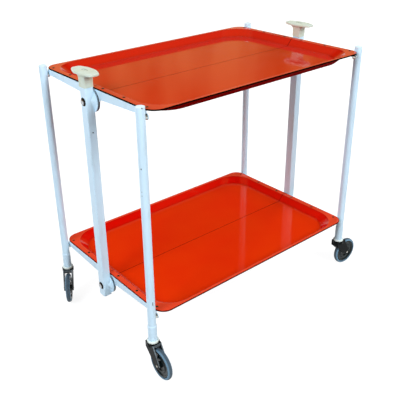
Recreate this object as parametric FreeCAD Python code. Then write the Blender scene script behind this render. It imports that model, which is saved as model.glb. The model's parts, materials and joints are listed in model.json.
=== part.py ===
import FreeCAD, Part
import math
import os

# Folding two-tier serving trolley, in millimetres.
# +X runs along the length, -Y is the front, +Z is up, and the floor is at zero.
# Each tray is two halves that meet at a seam over a centre bar. Lifting the two handles raises
# the bars, the halves drop to a steep roof shape, and the upright legs come together.

Vector = FreeCAD.Vector
ORIGIN = Vector(0, 0, 0)
X_AXIS = Vector(1, 0, 0)
Y_AXIS = Vector(0, 1, 0)
Z_AXIS = Vector(0, 0, 1)

# Stance
lower_rim_rise = 71.0
tray_pitch = 448.0
leg_gap_to_tray = 3.0
leg_inset = 19.0

# Trays
tray_length = 606.0
tray_width = 409.2
tray_corner_radius = 28.0
tray_sheet = 3.0
tray_depth = 16.5
end_flange = 13.5
side_flange = 7.0
wall_run = 15.0
well_corner_radius = 60.0
floor_bend_radius = 3.5
rim_bend_radius = 2.0
rim_edge_radius = 0.7
seam_gap = 0.5

# Arms under the ends of the trays
arm_sheet = 1.5
arm_shelf_reach = 2.6
arm_bend_radius = 1.4
arm_edge_overhang = 1.2
arm_stack_gap = 0.2
arm_root_height = 20.0
arm_tip_height = 11.0
arm_root_offset = 10.0
arm_flange_start = 11.0
arm_flange_end_inset = 3.0
disc_radius = 25.0
disc_fillet = 8.0
eye_radius = 6.5
eye_fillet = 3.0
centre_pivot_drop = 28.0
leg_pivot_drop = 14.0

# Rivets through tray and arm
rivet_diameter = 4.0
rivet_head_diameter = 6.4
rivet_head_height = 1.3
rivet_tail_diameter = 5.0
rivet_tail_height = 1.2
rivet_line_inset = 9.1
rivet_first_offset = 28.0
rivet_last_inset = 8.6
rivets_per_arm = 3

# Centre bars
bar_depth = 19.8
bar_width = 22.0
bar_wall = 1.5
bar_corner_radius = 2.5
bar_gap_to_tray = 2.2
bar_rise = 2.5
bar_tail = 26.5
bar_hole_diameter = 3.2
bar_hole_drop = 96.0
ear_radius = 25.0
ear_edge = 1.2
ear_depth = 9.0
ear_hollow = 0.3

# Handles
handle_skirt = 0.8
handle_plug_gap = 4.0
handle_stem_height = 17.5
handle_flare_height = 10.5
handle_cap_thickness = 6.0
handle_cap_length = 77.0
handle_cap_width = 37.0
handle_end_width = 21.0
handle_middle_length = 28.0
handle_cap_corner = 3.0
handle_flare_length = 62.0
handle_flare_width = 22.0
handle_flare_corner = 4.0
handle_flare_steps = 6
handle_edge_radius = 2.0
handle_dimple_length = 18.0
handle_dimple_width = 6.0
handle_dimple_depth = 1.0

# Centre pivot bolts
bolt_diameter = 8.0
bolt_head_diameter = 18.0
bolt_head_height = 5.0
nut_across_flats = 13.0
nut_height = 6.0
bolt_tip = 2.0
spacer_diameter = 20.0

# Legs
leg_diameter = 18.0
leg_wall = 1.2
leg_rise = 6.0
leg_cap_height = 4.0
leg_cap_plug = 10.0
leg_sleeve_diameter = 20.0
leg_sleeve_length = 37.0
leg_sleeve_taper = 2.0
pin_diameter = 6.0
pin_shoulder_diameter = 11.0
pin_head_diameter = 10.0
pin_head_height = 2.2
pin_tail = 2.0

# Castors
wheel_diameter = 73.0
castor_trail = 29.0
socket_flange_diameter = 26.0
socket_flange_height = 5.0
socket_length = 34.0
socket_end_wall = 2.0
stem_diameter = 8.0
stem_top_gap = 2.0
fork_plate = 2.75
fork_crown_diameter = 29.0
fork_crown_height = 7.0
fork_crown_gap = 0.6
fork_front = 15.0
fork_back = 12.5
fork_back_height = 15.0
fork_web_length = 11.0
fork_eye_radius = 8.0
fork_edge_radius = 0.9
axle_diameter = 4.0
axle_head_diameter = 5.6
axle_head_height = 1.5
tyre_width = 11.0
tyre_section = 5.5
tyre_shoulder_radius = 4.6
hub_boss_diameter = 15.0
hub_rim_width = 10.0
hub_rim_thickness = 4.0
hub_web = 5.0
hub_step_diameter = 36.0
hub_step_width = 8.0

# Fits and clearances
running_clearance = 0.05
fit_clearance = 0.05
side_clearance = 0.1
swivel_gap = 0.4
hub_side_gap = 0.5
tyre_side_gap = 3.75
cut_margin = 1.0
touching = 0.01

# Direction in which each castor trails, in degrees from +X
castor_headings = {
    ("front", "left"): -92.0,
    ("rear", "left"): -123.0,
    ("front", "right"): -4.0,
    ("rear", "right"): 150.0,
}

# Values worked out from the sizes above
wheel_radius = wheel_diameter / 2
hub_radius = wheel_radius - tyre_section
fork_width = tyre_width + 2 * (tyre_side_gap + fork_plate)
crown_low_z = wheel_diameter + fork_crown_gap
crown_top_z = crown_low_z + fork_crown_height
socket_bottom_z = crown_top_z + swivel_gap
castor_height = socket_bottom_z + socket_flange_height
lower_rim_z = castor_height + lower_rim_rise
upper_rim_z = lower_rim_z + tray_pitch
rim_heights = {"upper": upper_rim_z, "lower": lower_rim_z}
tray_half_x = tray_length / 2
tray_half_y = tray_width / 2
leg_x = tray_half_x + leg_gap_to_tray + leg_diameter / 2
leg_y = tray_half_y - leg_inset
leg_top_z = upper_rim_z + leg_rise
arm_top = -tray_sheet
rear_arm_face = tray_half_x + arm_edge_overhang
front_arm_face = rear_arm_face - arm_sheet - arm_stack_gap
arm_faces = {"front": front_arm_face, "rear": rear_arm_face}
rivet_line = tray_half_x - rivet_line_inset
rivet_pitch = (leg_y - rivet_last_inset - rivet_first_offset) / (rivets_per_arm - 1)
rivet_offsets = [rivet_first_offset + index * rivet_pitch for index in range(rivets_per_arm)]
bar_inner = tray_half_x + bar_gap_to_tray
bar_outer = bar_inner + bar_depth
bar_centre = (bar_inner + bar_outer) / 2
bar_top_z = upper_rim_z + bar_rise
bar_bottom_z = lower_rim_z - centre_pivot_drop - bar_tail
side_signs = {"front": -1, "rear": 1}
end_signs = {"left": -1, "right": 1}


# General shapes

def cylinder(radius, start, direction, length):
    return Part.makeCylinder(radius, length, start, direction)


def rounded_rectangle(half_x, half_y, radius, z):
    """Closed outline of straight sides and quarter-round corners, centred on the Z axis."""
    bend = radius * math.sqrt(0.5)
    arcs = []
    ends = []
    for sign_x, sign_y in ((1, 1), (-1, 1), (-1, -1), (1, -1)):
        centre = Vector(sign_x * (half_x - radius), sign_y * (half_y - radius), z)
        side_end = centre + Vector(sign_x * radius, 0, 0)
        top_end = centre + Vector(0, sign_y * radius, 0)
        middle = centre + Vector(sign_x * bend, sign_y * bend, 0)
        first, last = (side_end, top_end) if sign_x == sign_y else (top_end, side_end)
        arcs.append(Part.Arc(first, middle, last).toShape())
        ends.append((first, last))
    edges = []
    for index, arc in enumerate(arcs):
        following = ends[(index + 1) % len(arcs)][0]
        edges.append(arc)
        edges.append(Part.LineSegment(ends[index][1], following).toShape())
    return Part.Wire(edges)


def prism(half_x, half_y, radius, low, high):
    outline = rounded_rectangle(half_x, half_y, radius, low)
    return Part.Face(outline).extrude(Vector(0, 0, high - low))


def outline_distance(point, half_x, half_y, radius):
    """Distance of a point outside (or, negative, inside) a rounded rectangle, seen from above."""
    over_x = abs(point.x) - (half_x - radius)
    over_y = abs(point.y) - (half_y - radius)
    if over_x > 0 and over_y > 0:
        return math.hypot(over_x, over_y) - radius
    return max(over_x, over_y) - radius


def edges_on_outline(shape, half_x, half_y, radius, z):
    """Edges of a shape that run along a rounded rectangle at one height."""
    found = []
    for edge in shape.Edges:
        middle = edge.valueAt((edge.FirstParameter + edge.LastParameter) / 2)
        box = edge.BoundBox
        level = abs(box.ZMin - z) < touching and abs(box.ZMax - z) < touching
        if level and abs(outline_distance(middle, half_x, half_y, radius)) < touching:
            found.append(edge)
    return found


def edges_along(shape, direction, position, reach):
    """Straight edges along a direction whose line passes within reach of a position."""
    found = []
    for edge in shape.Edges:
        if edge.Curve.TypeId != "Part::GeomLine":
            continue
        start = edge.Vertexes[0].Point
        run = edge.Vertexes[-1].Point - start
        if run.Length < touching or run.cross(direction).Length > touching:
            continue
        offset = start - position
        offset -= direction * offset.dot(direction)
        if offset.Length < reach:
            found.append(edge)
    return found


def turned(points, axis):
    """Solid of revolution of a closed outline of straight runs."""
    outline = Part.makePolygon(points + [points[0]])
    return Part.Face(outline).revolve(ORIGIN, axis, 360)


def dome(radius, height, start, direction):
    """Cap of a ball standing on a flat disc, such as a rivet head."""
    ball = (radius * radius + height * height) / (2 * height)
    sphere = Part.makeSphere(ball, start + direction * (height - ball))
    return sphere.common(cylinder(radius, start, direction, height))


# Trays

def well_outline(z, growth):
    """Outline of the well at a height below the rim, grown outwards by the sheet."""
    drift = wall_run * z / tray_depth + growth
    half_x = tray_half_x - end_flange + drift
    half_y = tray_half_y - side_flange + drift
    return half_x, half_y, well_corner_radius + growth, z


def well(high, low, growth):
    sections = [rounded_rectangle(*well_outline(z, growth)) for z in (high, low)]
    return Part.makeLoft(sections, True, True)


def tray_pan():
    """Whole pan with its rim at height zero, before it is split along the seam."""
    wall_growth = tray_sheet * math.hypot(wall_run, tray_depth) / tray_depth
    floor_low = -tray_depth - tray_sheet
    pan = prism(tray_half_x, tray_half_y, tray_corner_radius, -tray_sheet, 0)
    pan = pan.fuse(well(-tray_sheet / 2, floor_low, wall_growth))
    pan = pan.cut(well(tray_sheet, -tray_depth, 0)).removeSplitter()
    inner_floor = edges_on_outline(pan, *well_outline(-tray_depth, 0))
    pan = pan.makeFillet(floor_bend_radius, inner_floor)
    outer_floor = edges_on_outline(pan, *well_outline(floor_low, wall_growth))
    pan = pan.makeFillet(floor_bend_radius + tray_sheet, outer_floor)
    inner_rim = edges_on_outline(pan, *well_outline(0, 0))
    pan = pan.makeFillet(rim_bend_radius, inner_rim)
    for z in (0, -tray_sheet):
        rim = edges_on_outline(pan, tray_half_x, tray_half_y, tray_corner_radius, z)
        pan = pan.makeFillet(rim_edge_radius, rim)
    return pan


def rivet_points(side):
    sign = side_signs[side]
    return [Vector(end * rivet_line, sign * offset, 0) for end in (-1, 1) for offset in rivet_offsets]


def tray_half(pan, side):
    sign = side_signs[side]
    corner = Vector(-tray_length, seam_gap / 2, -tray_length)
    block = Part.makeBox(2 * tray_length, tray_width, 2 * tray_length, corner)
    if sign < 0:
        block = block.mirror(ORIGIN, Y_AXIS)
    half = pan.common(block)
    hole_radius = rivet_diameter / 2 + fit_clearance
    for point in rivet_points(side):
        start = point - Z_AXIS * (2 * tray_sheet)
        half = half.cut(cylinder(hole_radius, start, Z_AXIS, 3 * tray_sheet))
    return half


def tray_rivets(side):
    rivets = []
    grip = tray_sheet + arm_sheet
    for point in rivet_points(side):
        foot = point - Z_AXIS * grip
        shank = cylinder(rivet_diameter / 2, foot, Z_AXIS, grip)
        head = dome(rivet_head_diameter / 2, rivet_head_height, point, Z_AXIS)
        tail = dome(rivet_tail_diameter / 2, rivet_tail_height, foot, -Z_AXIS)
        rivets.append(shank.fuse(head).fuse(tail).removeSplitter())
    return Part.makeCompound(rivets)


# Arms

def arm(side):
    """Pressed arm of the right-hand end, its rim at height zero, made for the rear and mirrored."""
    face = arm_faces[side]
    inner = face - arm_sheet
    tip = leg_y
    web_points = [
        Vector(inner, arm_root_offset, arm_top),
        Vector(inner, tip, arm_top),
        Vector(inner, tip, arm_top - arm_tip_height),
        Vector(inner, arm_root_offset, arm_top - arm_root_height),
    ]
    web = Part.Face(Part.makePolygon(web_points + [web_points[0]])).extrude(X_AXIS * arm_sheet)
    pivot = Vector(inner, 0, -centre_pivot_drop)
    eye = Vector(inner, tip, -leg_pivot_drop)
    solid = web.fuse(cylinder(disc_radius, pivot, X_AXIS, arm_sheet))
    solid = solid.fuse(cylinder(eye_radius, eye, X_AXIS, arm_sheet)).removeSplitter()
    solid = round_web_corners(solid, pivot, eye)
    shelf_length = tip - arm_flange_end_inset - arm_flange_start
    shelf_inner = rivet_line - arm_shelf_reach
    shelf_corner = Vector(shelf_inner, arm_flange_start, arm_top - arm_sheet)
    shelf = Part.makeBox(face - shelf_inner, shelf_length, arm_sheet, shelf_corner)
    solid = solid.fuse(shelf).removeSplitter()
    bend = edges_along(solid, Y_AXIS, Vector(face, 0, arm_top), touching)
    solid = solid.makeFillet(arm_bend_radius, bend)
    for centre, diameter in ((pivot, bolt_diameter), (eye, pin_diameter)):
        start = centre - X_AXIS * cut_margin
        hole = cylinder(diameter / 2 + running_clearance, start, X_AXIS, arm_sheet + 2 * cut_margin)
        solid = solid.cut(hole)
    for offset in rivet_offsets:
        start = Vector(rivet_line, offset, arm_top - 2 * arm_sheet)
        solid = solid.cut(cylinder(rivet_diameter / 2 + fit_clearance, start, Z_AXIS, 3 * arm_sheet))
    if side_signs[side] < 0:
        solid = solid.mirror(ORIGIN, Y_AXIS)
    return solid


def round_web_corners(solid, pivot, eye):
    """Blend the web's lower edge into the disc at its root and the eye at its tip."""
    for centre, radius, blend in ((pivot, disc_radius, disc_fillet), (eye, eye_radius, eye_fillet)):
        corners = []
        for edge in edges_along(solid, X_AXIS, centre, radius + touching):
            point = edge.Vertexes[0].Point
            below_top = point.z < arm_top - arm_tip_height / 2
            on_rim = abs(math.hypot(point.y - centre.y, point.z - centre.z) - radius) < touching
            if below_top and on_rim:
                corners.append(edge)
        if corners:
            solid = solid.makeFillet(blend, corners)
    return solid


# Centre bars, handles and their bolts

def centre_bar():
    """Bar of the right-hand end: a rectangular tube that flares to a round ear at each pivot."""
    shift = Vector(bar_centre, 0, 0)
    tube = prism(bar_depth / 2, bar_width / 2, bar_corner_radius, bar_bottom_z, bar_top_z)
    tube.translate(shift)
    for rim in rim_heights.values():
        tube = tube.fuse(placed(bar_ear(), z=rim - centre_pivot_drop))
    bore_radius = bar_corner_radius - bar_wall
    bore = prism(bar_depth / 2 - bar_wall, bar_width / 2 - bar_wall, bore_radius,
                 bar_bottom_z - bar_wall, bar_top_z + bar_wall)
    bore.translate(shift)
    tube = tube.removeSplitter().cut(bore)
    for rim in rim_heights.values():
        start = Vector(bar_inner - bar_wall, 0, rim - centre_pivot_drop)
        tube = tube.cut(cylinder(bolt_diameter / 2 + fit_clearance, start, X_AXIS, bar_depth + 2 * bar_wall))
    vent = Vector(bar_centre, 0, bar_top_z - bar_hole_drop)
    return tube.cut(cylinder(bar_hole_diameter / 2, vent, -Y_AXIS, bar_width))


def bar_ear():
    """Round ear on the inner side of the bar, hollowed like a trumpet, its pivot at height zero."""
    edge_x = bar_inner + ear_edge
    deep_x = bar_inner + ear_depth
    neck = bar_width / 2
    middle_x = edge_x + ear_hollow * (deep_x - edge_x)
    middle_radius = neck + ear_hollow * (ear_radius - neck)
    rim = Vector(edge_x, ear_radius, 0)
    throat = Vector(deep_x, neck, 0)
    straight = Part.makePolygon([
        throat,
        Vector(deep_x, 0, 0),
        Vector(bar_inner, 0, 0),
        Vector(bar_inner, ear_radius, 0),
        rim,
    ])
    hollow = Part.Arc(rim, Vector(middle_x, middle_radius, 0), throat).toShape()
    outline = Part.Wire(straight.Edges + [hollow])
    return Part.Face(outline).revolve(ORIGIN, X_AXIS, 360)


def cap_outline(z):
    """Long eight-sided outline of the handle's cap, broad in the middle and narrow at the ends."""
    half_x = handle_cap_width / 2
    half_y = handle_cap_length / 2
    end_x = handle_end_width / 2
    middle_y = handle_middle_length / 2
    quarter = [(half_x, middle_y), (end_x, half_y)]
    corners = []
    for sign_x, sign_y in ((1, 1), (-1, 1), (-1, -1), (1, -1)):
        ordered = quarter if sign_x == sign_y else reversed(quarter)
        corners += [Vector(sign_x * x, sign_y * y, z) for x, y in ordered]
    return Part.makePolygon(corners + [corners[0]])


def handle():
    """Handle of the right-hand end: plug, stem, concave flare and a thick eight-sided cap."""
    stem_x = bar_depth / 2 + handle_skirt
    stem_y = bar_width / 2 + handle_skirt
    flare_z = bar_top_z + handle_stem_height
    cap_z = flare_z + handle_flare_height
    top_z = cap_z + handle_cap_thickness
    stem = prism(stem_x, stem_y, bar_corner_radius, bar_top_z, flare_z)
    sections = []
    for step in range(handle_flare_steps + 1):
        rise = step / handle_flare_steps
        spread = 1 - math.sqrt(1 - rise * rise)
        half_x = stem_x + spread * (handle_flare_width / 2 - stem_x)
        half_y = stem_y + spread * (handle_flare_length / 2 - stem_y)
        corner = bar_corner_radius + spread * (handle_flare_corner - bar_corner_radius)
        sections.append(rounded_rectangle(half_x, half_y, corner, flare_z + rise * handle_flare_height))
    flare = Part.makeLoft(sections, True, True)
    cap = Part.Face(cap_outline(cap_z)).extrude(Z_AXIS * handle_cap_thickness)
    uprights = [edge for edge in cap.Edges if edge.BoundBox.ZLength > handle_cap_thickness / 2]
    cap = cap.makeFillet(handle_cap_corner, uprights)
    top_edges = [edge for edge in cap.Edges if edge.BoundBox.ZMin > top_z - touching]
    cap = cap.makeFillet(handle_edge_radius, top_edges)
    plug_x = bar_depth / 2 - bar_wall - fit_clearance
    plug_y = bar_width / 2 - bar_wall - fit_clearance
    plug_low = upper_rim_z - centre_pivot_drop + bolt_diameter / 2 + handle_plug_gap
    plug = prism(plug_x, plug_y, bar_corner_radius - bar_wall, plug_low, bar_top_z)
    solid = plug.fuse(stem).fuse(flare).fuse(cap).removeSplitter()
    solid.translate(Vector(bar_centre, 0, 0))
    return solid.cut(handle_dimple(top_z))


def handle_dimple(top_z):
    """Shallow oblong hollow in the top of the cap."""
    ball_radius = (handle_dimple_width ** 2 / 4 + handle_dimple_depth ** 2) / (2 * handle_dimple_depth)
    run = handle_dimple_length - handle_dimple_width
    start = Vector(bar_centre, -run / 2, top_z + ball_radius - handle_dimple_depth)
    hollow = cylinder(ball_radius, start, Y_AXIS, run)
    for offset in (0, run):
        hollow = hollow.fuse(Part.makeSphere(ball_radius, start + Y_AXIS * offset))
    return hollow


def bolt_stack():
    """Bolt, spacer and nut of one pivot at the right-hand end, the pivot at height zero."""
    nut_face = front_arm_face - arm_sheet - side_clearance
    tip = nut_face - nut_height - bolt_tip
    bolt = cylinder(bolt_diameter / 2, Vector(tip, 0, 0), X_AXIS, bar_outer - tip)
    bolt = bolt.fuse(dome(bolt_head_diameter / 2, bolt_head_height, Vector(bar_outer, 0, 0), X_AXIS))
    spacer_start = Vector(rear_arm_face + side_clearance, 0, 0)
    spacer_length = bar_inner - spacer_start.x
    bore_radius = bolt_diameter / 2 + fit_clearance
    spacer = cylinder(spacer_diameter / 2, spacer_start, X_AXIS, spacer_length)
    spacer = spacer.cut(cylinder(bore_radius, spacer_start, X_AXIS, spacer_length))
    corner_radius = nut_across_flats / math.sqrt(3)
    corners = []
    for index in range(7):
        angle = math.radians(60 * index)
        corners.append(Vector(nut_face, corner_radius * math.cos(angle), corner_radius * math.sin(angle)))
    nut = Part.Face(Part.makePolygon(corners)).extrude(X_AXIS * -nut_height)
    nut = nut.cut(cylinder(bore_radius, Vector(nut_face, 0, 0), -X_AXIS, nut_height))
    return bolt.removeSplitter(), spacer, nut


# Legs

def leg_tube():
    """Upright of the right-hand end, on the Z axis: a tube swaged wider over the castor socket."""
    outer = leg_diameter / 2
    inner = outer - leg_wall
    sleeve = leg_sleeve_diameter / 2
    sleeve_top = castor_height + leg_sleeve_length
    taper_top = sleeve_top + leg_sleeve_taper
    outline = [
        Vector(sleeve - leg_wall, 0, castor_height),
        Vector(sleeve, 0, castor_height),
        Vector(sleeve, 0, sleeve_top),
        Vector(outer, 0, taper_top),
        Vector(outer, 0, leg_top_z),
        Vector(inner, 0, leg_top_z),
        Vector(inner, 0, taper_top),
        Vector(sleeve - leg_wall, 0, sleeve_top),
    ]
    tube = turned(outline, Z_AXIS)
    for rim in rim_heights.values():
        start = Vector(0, 0, rim - leg_pivot_drop)
        tube = tube.cut(cylinder(pin_diameter / 2 + fit_clearance, start, -X_AXIS, leg_diameter))
    return tube


def leg_cap():
    outer = leg_diameter / 2
    inner = outer - leg_wall - fit_clearance
    cap = cylinder(inner, Vector(0, 0, leg_top_z - leg_cap_plug), Z_AXIS, leg_cap_plug)
    skirt = leg_cap_height / 2
    cap = cap.fuse(cylinder(outer, Vector(0, 0, leg_top_z), Z_AXIS, skirt))
    cap = cap.fuse(dome(outer, skirt, Vector(0, 0, leg_top_z + skirt), Z_AXIS))
    return cap.removeSplitter()


def leg_pins(side):
    """Shouldered pins of one leg, fixed in its inner wall, that carry the two arms."""
    pins = []
    arm_outer = arm_faces[side] - leg_x
    for rim in rim_heights.values():
        height = rim - leg_pivot_drop
        shoulder_start = Vector(arm_outer + side_clearance, 0, height)
        tube_body = cylinder(leg_diameter / 2 + fit_clearance, Vector(0, 0, 0), Z_AXIS, leg_top_z)
        pin = cylinder(pin_shoulder_diameter / 2, shoulder_start, X_AXIS, -shoulder_start.x).cut(tube_body)
        shank_start = arm_outer - arm_sheet - side_clearance
        shank_end = -leg_diameter / 2 + leg_wall + pin_tail
        start = Vector(shank_start, 0, height)
        pin = pin.fuse(cylinder(pin_diameter / 2, start, X_AXIS, shank_end - shank_start))
        pin = pin.fuse(dome(pin_head_diameter / 2, pin_head_height, start, -X_AXIS))
        pins.append(pin.removeSplitter())
    return Part.makeCompound(pins)


def castor_socket():
    """Moulded bush in the foot of the leg, with the flange that shows below the tube."""
    body_radius = leg_sleeve_diameter / 2 - leg_wall - fit_clearance
    low = Vector(0, 0, socket_bottom_z)
    flange = cylinder(socket_flange_diameter / 2, low, Z_AXIS, socket_flange_height)
    rims = [edge for edge in flange.Edges if edge.Curve.TypeId == "Part::GeomCircle"]
    flange = flange.makeFillet(socket_flange_height / 4, rims)
    body_length = socket_length - socket_flange_height
    body = cylinder(body_radius, Vector(0, 0, castor_height), Z_AXIS, body_length)
    bore = cylinder(stem_diameter / 2 + running_clearance, low, Z_AXIS, socket_length - socket_end_wall)
    return flange.fuse(body).cut(bore).removeSplitter()


# Castors, made trailing along +X with the swivel axis on Z

def axle_centre():
    return Vector(castor_trail, 0, wheel_radius)


def fork_plate_outline(y):
    """Side of the fork: square at the crown, leaning back and tapering to the axle eye."""
    eye = axle_centre() + Y_AXIS * y
    front_top = Vector(fork_front, y, crown_top_z)
    back_top = Vector(-fork_back, y, crown_top_z)
    back_low = Vector(-fork_back, y, crown_top_z - fork_back_height)
    front_touch, front_side = tangent_point(front_top, eye, fork_eye_radius, 1)
    back_touch, back_side = tangent_point(back_low, eye, fork_eye_radius, -1)
    lowest = eye + (front_side + back_side).normalize() * fork_eye_radius
    if lowest.z > eye.z:
        lowest = eye * 2 - lowest
    edges = [
        Part.LineSegment(back_top, front_top).toShape(),
        Part.LineSegment(front_top, front_touch).toShape(),
        Part.Arc(front_touch, lowest, back_touch).toShape(),
        Part.LineSegment(back_touch, back_low).toShape(),
        Part.LineSegment(back_low, back_top).toShape(),
    ]
    return Part.Wire(edges)


def tangent_point(point, centre, radius, turn):
    """Where the line from a point touches a circle in the XZ plane, and the radius to it."""
    away = point - centre
    spread = math.acos(radius / away.Length)
    direction = math.atan2(away.z, away.x) - turn * spread
    side = Vector(math.cos(direction), 0, math.sin(direction))
    return centre + side * radius, side


def castor_fork():
    half = fork_width / 2
    crown_low = Vector(0, 0, crown_low_z)
    fork = cylinder(fork_crown_diameter / 2, crown_low, Z_AXIS, fork_crown_height)
    bridge = Part.makeBox(fork_front, fork_width, fork_crown_height, crown_low - Y_AXIS * half)
    back_corner = Vector(-fork_back, -half, crown_top_z - fork_back_height)
    back_wall = Part.makeBox(fork_plate, fork_width, fork_back_height, back_corner)
    fork = fork.fuse(bridge).fuse(back_wall).fuse(fork_web())
    for y in (-half, half - fork_plate):
        plate = Part.Face(fork_plate_outline(y)).extrude(Y_AXIS * fork_plate)
        fork = fork.fuse(plate)
    fork = fork.removeSplitter()
    outer_edges = [edge for edge in fork.Edges if outer_plate_edge(edge)]
    fork = fork.makeFillet(fork_edge_radius, outer_edges)
    stem_hole = cylinder(stem_diameter / 2 + fit_clearance, crown_low, Z_AXIS, fork_crown_height)
    axle_start = axle_centre() - Y_AXIS * fork_width
    axle_hole = cylinder(axle_diameter / 2 + fit_clearance, axle_start, Y_AXIS, 2 * fork_width)
    return fork.cut(stem_hole).cut(axle_hole)


def fork_web():
    """Wall between the plates that follows their leaning back edge down towards the tyre."""
    inside = (fork_width - fork_plate) / 2
    back_low = Vector(-fork_back, -inside, crown_top_z - fork_back_height)
    touch, side = tangent_point(back_low, axle_centre() - Y_AXIS * inside, fork_eye_radius, -1)
    along = (touch - back_low).normalize() * fork_web_length
    inward = side * -fork_plate
    corners = [back_low, back_low + along, back_low + along + inward, back_low + inward]
    return Part.Face(Part.makePolygon(corners + [corners[0]])).extrude(Y_AXIS * (2 * inside))


def outer_plate_edge(edge):
    """Whether an edge of the fork borders the outside of a plate below the crown."""
    box = edge.BoundBox
    flat = abs(box.YMax - box.YMin) < touching
    on_face = abs(abs(box.YMin) - fork_width / 2) < touching
    return flat and on_face and box.ZMin < crown_low_z - touching


def castor_stem():
    """Steel swivel pin, fixed in the crown and running in the socket above it."""
    top = socket_bottom_z + socket_length - socket_end_wall - stem_top_gap
    return cylinder(stem_diameter / 2, Vector(0, 0, crown_low_z), Z_AXIS, top - crown_low_z)


def castor_axle():
    """Axle with a domed head riveted over each side of the fork."""
    half = fork_width / 2
    centre = axle_centre()
    axle = cylinder(axle_diameter / 2, centre - Y_AXIS * half, Y_AXIS, fork_width)
    for direction in (Y_AXIS, -Y_AXIS):
        axle = axle.fuse(dome(axle_head_diameter / 2, axle_head_height, centre + direction * half, direction))
    return axle.removeSplitter()


def wheel_hub():
    """Moulded hub: bored boss, thin web, raised step ring and a rim that holds the tyre."""
    boss_half = fork_width / 2 - fork_plate - hub_side_gap
    bore = axle_diameter / 2 + running_clearance
    boss = hub_boss_diameter / 2
    step_outer = hub_step_diameter / 2
    step_inner = step_outer - hub_rim_thickness
    rim_inner = hub_radius - hub_rim_thickness
    side = [
        (bore, boss_half),
        (boss, boss_half),
        (boss, hub_web / 2),
        (step_inner, hub_web / 2),
        (step_inner, hub_step_width / 2),
        (step_outer, hub_step_width / 2),
        (step_outer, hub_web / 2),
        (rim_inner, hub_web / 2),
        (rim_inner, hub_rim_width / 2),
        (hub_radius, hub_rim_width / 2),
    ]
    points = [Vector(radius, offset, 0) for radius, offset in side]
    points += [Vector(radius, -offset, 0) for radius, offset in reversed(side)]
    hub = turned(points, Y_AXIS)
    hub.translate(axle_centre())
    return hub


def wheel_tyre():
    seat = hub_radius + fit_clearance
    half = tyre_width / 2
    shoulder = wheel_radius - tyre_shoulder_radius
    flat = half - tyre_shoulder_radius
    bend = tyre_shoulder_radius * math.sqrt(0.5)
    corners = [
        Vector(seat, -half, 0),
        Vector(shoulder, -half, 0),
        Vector(wheel_radius, -flat, 0),
        Vector(wheel_radius, flat, 0),
        Vector(shoulder, half, 0),
        Vector(seat, half, 0),
    ]
    edges = [
        Part.LineSegment(corners[0], corners[1]).toShape(),
        Part.Arc(corners[1], Vector(shoulder + bend, -flat - bend, 0), corners[2]).toShape(),
        Part.LineSegment(corners[2], corners[3]).toShape(),
        Part.Arc(corners[3], Vector(shoulder + bend, flat + bend, 0), corners[4]).toShape(),
        Part.LineSegment(corners[4], corners[5]).toShape(),
        Part.LineSegment(corners[5], corners[0]).toShape(),
    ]
    tyre = Part.Face(Part.Wire(edges)).revolve(ORIGIN, Y_AXIS, 360)
    tyre.translate(axle_centre())
    return tyre


# Assembly

def placed(shape, x=0.0, y=0.0, z=0.0, heading=0.0):
    copy = shape.copy()
    copy.rotate(ORIGIN, Z_AXIS, heading)
    copy.translate(Vector(x, y, z))
    return copy


def at_end(shape, end):
    """A shape made for the right-hand end, mirrored for the left."""
    if end_signs[end] < 0:
        return shape.mirror(ORIGIN, X_AXIS)
    return shape


def centre_frame_nodes():
    nodes = {}
    groups = {"centre_bolts": [], "centre_spacers": [], "centre_nuts": []}
    stack = bolt_stack()
    for end in end_signs:
        nodes["centre_bar_" + end] = at_end(centre_bar(), end)
        nodes["handle_" + end] = at_end(handle(), end)
        for rim in rim_heights.values():
            for group, piece in zip(groups.values(), stack):
                group.append(at_end(placed(piece, z=rim - centre_pivot_drop), end))
    for name, pieces in groups.items():
        nodes[name] = Part.makeCompound(pieces)
    return nodes


def tray_nodes():
    nodes = {}
    pan = tray_pan()
    for side in side_signs:
        half = tray_half(pan, side)
        rivets = tray_rivets(side)
        bracket = arm(side)
        for level, rim in rim_heights.items():
            nodes[f"tray_{level}_{side}"] = placed(half, z=rim)
            nodes[f"tray_rivets_{level}_{side}"] = placed(rivets, z=rim)
            for end in end_signs:
                nodes[f"arm_{level}_{side}_{end}"] = at_end(placed(bracket, z=rim), end)
    return nodes


def leg_nodes():
    nodes = {}
    for side, sign in side_signs.items():
        pieces = {
            "leg": leg_tube(),
            "leg_cap": leg_cap(),
            "leg_pins": leg_pins(side),
            "castor_socket": castor_socket(),
        }
        for end in end_signs:
            for name, piece in pieces.items():
                nodes[f"{name}_{side}_{end}"] = at_end(placed(piece, leg_x, sign * leg_y), end)
    return nodes


def castor_nodes():
    nodes = {}
    pieces = {
        "castor_fork": castor_fork(),
        "castor_stem": castor_stem(),
        "castor_axle": castor_axle(),
        "wheel_hub": wheel_hub(),
        "wheel_tyre": wheel_tyre(),
    }
    for (side, end), heading in castor_headings.items():
        x = end_signs[end] * leg_x
        y = side_signs[side] * leg_y
        for name, piece in pieces.items():
            nodes[f"{name}_{side}_{end}"] = placed(piece, x, y, heading=heading)
    return nodes


def main():
    os.makedirs("parts", exist_ok=True)
    for family in (centre_frame_nodes, tray_nodes, leg_nodes, castor_nodes):
        for name, shape in family().items():
            shape.exportStep(f"parts/{name}.step")


main()
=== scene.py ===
import json
import math

import bmesh
import bpy
from mathutils import Matrix, Vector


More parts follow.
